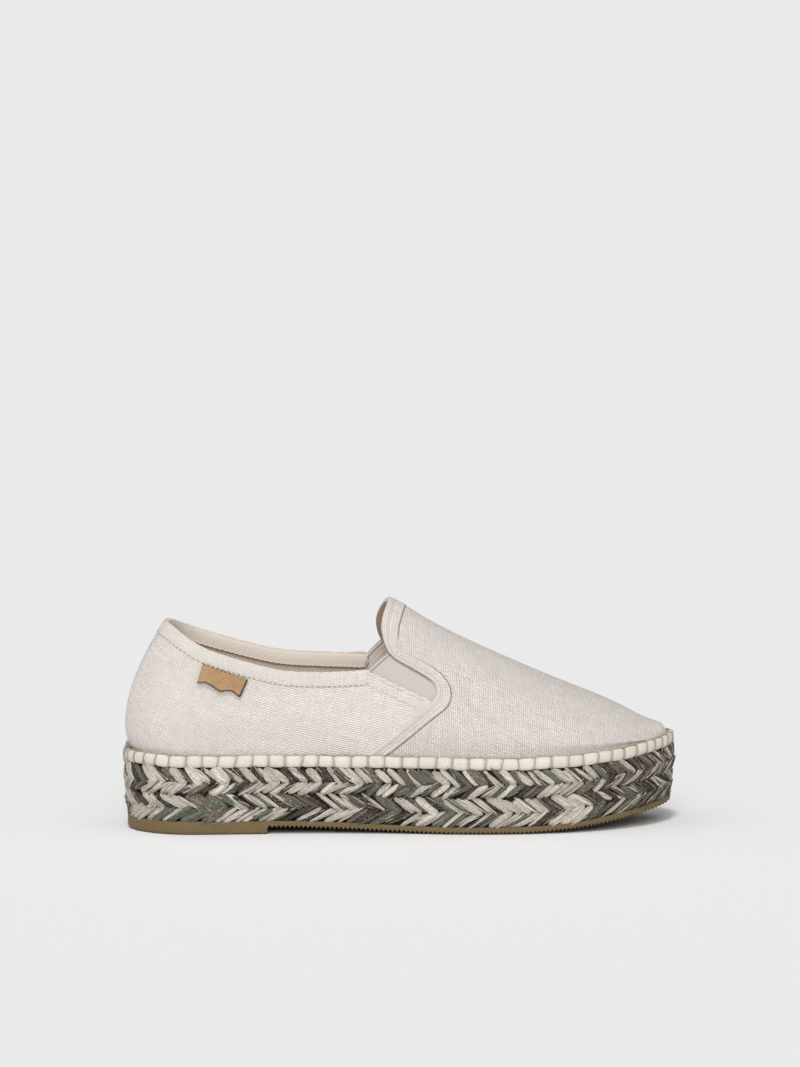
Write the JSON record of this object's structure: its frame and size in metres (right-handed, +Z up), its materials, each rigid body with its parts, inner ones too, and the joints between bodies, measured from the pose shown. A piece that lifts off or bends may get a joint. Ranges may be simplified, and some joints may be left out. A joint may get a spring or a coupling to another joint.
{
  "type": "espadrille",
  "caption": "Slip-on platform espadrille with a canvas upper, elastic side gores, a braided jute platform and a thin rubber outsole with a heel block.",
  "frame": {"origin": "on the ground, under the middle of the shoe's bounding box", "axes": "+X towards the toe, +Z up from the ground, -Y towards the shoe's outer side"},
  "size_m": [0.262, 0.0912, 0.1071],
  "materials": {
    "rubber": "moulded olive-honey rubber with a satin sheen",
    "jute": "braided jute strands in beige, brown, grey-green and charcoal",
    "cord": "cream cotton piping cord bound with whip stitches",
    "lining": "plain cotton lining",
    "canvas": "off-white linen canvas in a plain weave",
    "elastic": "ribbed elastic webbing",
    "leather": "natural tan leather with dark cut edges"
  },
  "bodies": {
    "root": {"outsole": "rubber", "jute_platform": "jute", "piping": "cord", "insole": "lining", "upper": "canvas", "gore_outer": "elastic", "gore_inner": "elastic", "heel_tab": "leather"}
  },
  "joints": []
}
